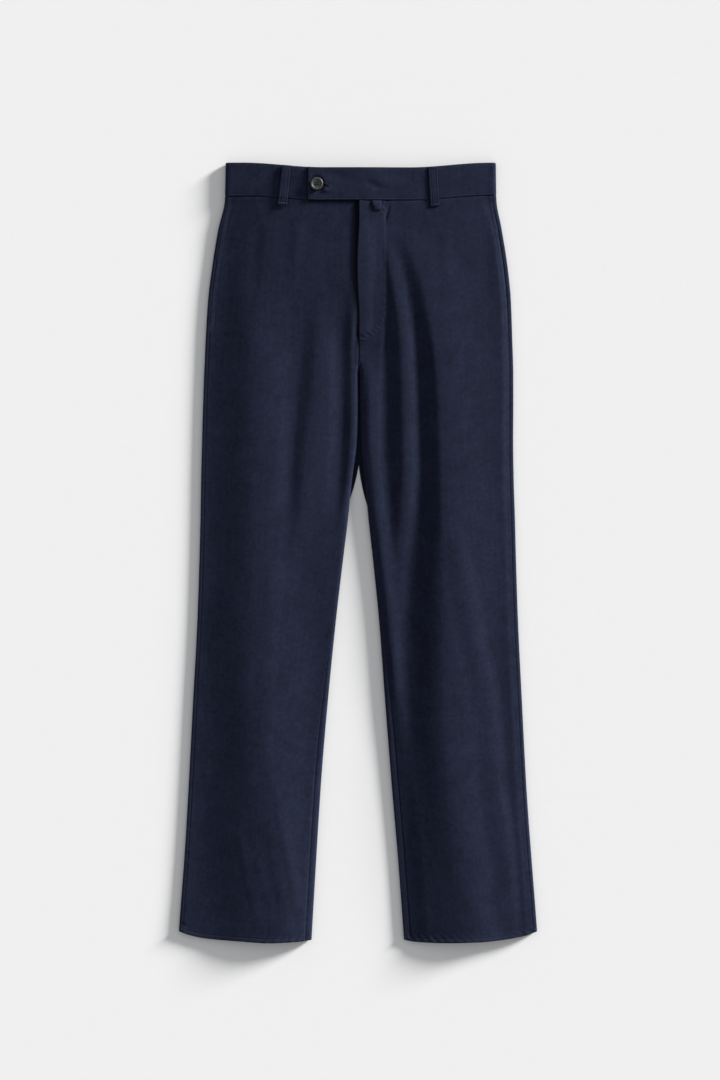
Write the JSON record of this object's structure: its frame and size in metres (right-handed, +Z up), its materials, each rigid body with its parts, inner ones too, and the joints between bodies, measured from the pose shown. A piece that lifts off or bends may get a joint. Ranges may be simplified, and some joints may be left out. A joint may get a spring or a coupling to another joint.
{
  "type": "chino trousers",
  "caption": "Straight-leg chino trousers laid flat, front up, with buttoned waistband tab, fly, belt loops and side pockets.",
  "frame": {"origin": "centre of the laid garment's outline, on the surface it lies on", "axes": "+X towards the wearer's left, +Y from the hems to the waist, +Z up out of the front"},
  "size_m": [0.502, 1.092, 0.017],
  "materials": {
    "navy_twill": "matt garment-dyed cotton twill",
    "facing_twill": "matt cotton twill",
    "horn_button": "semi-matt imitation horn, four holes"
  },
  "bodies": {
    "root": {"right_back": "navy_twill", "left_back": "navy_twill", "right_front": "navy_twill", "left_front": "navy_twill", "waistband_right": "navy_twill", "waistband_left": "navy_twill", "pocket_facing_right": "facing_twill", "pocket_facing_left": "facing_twill", "belt_loop_right": "navy_twill", "belt_loop_left": "navy_twill", "prong_keeper": "navy_twill", "waist_button": "horn_button"}
  },
  "joints": []
}
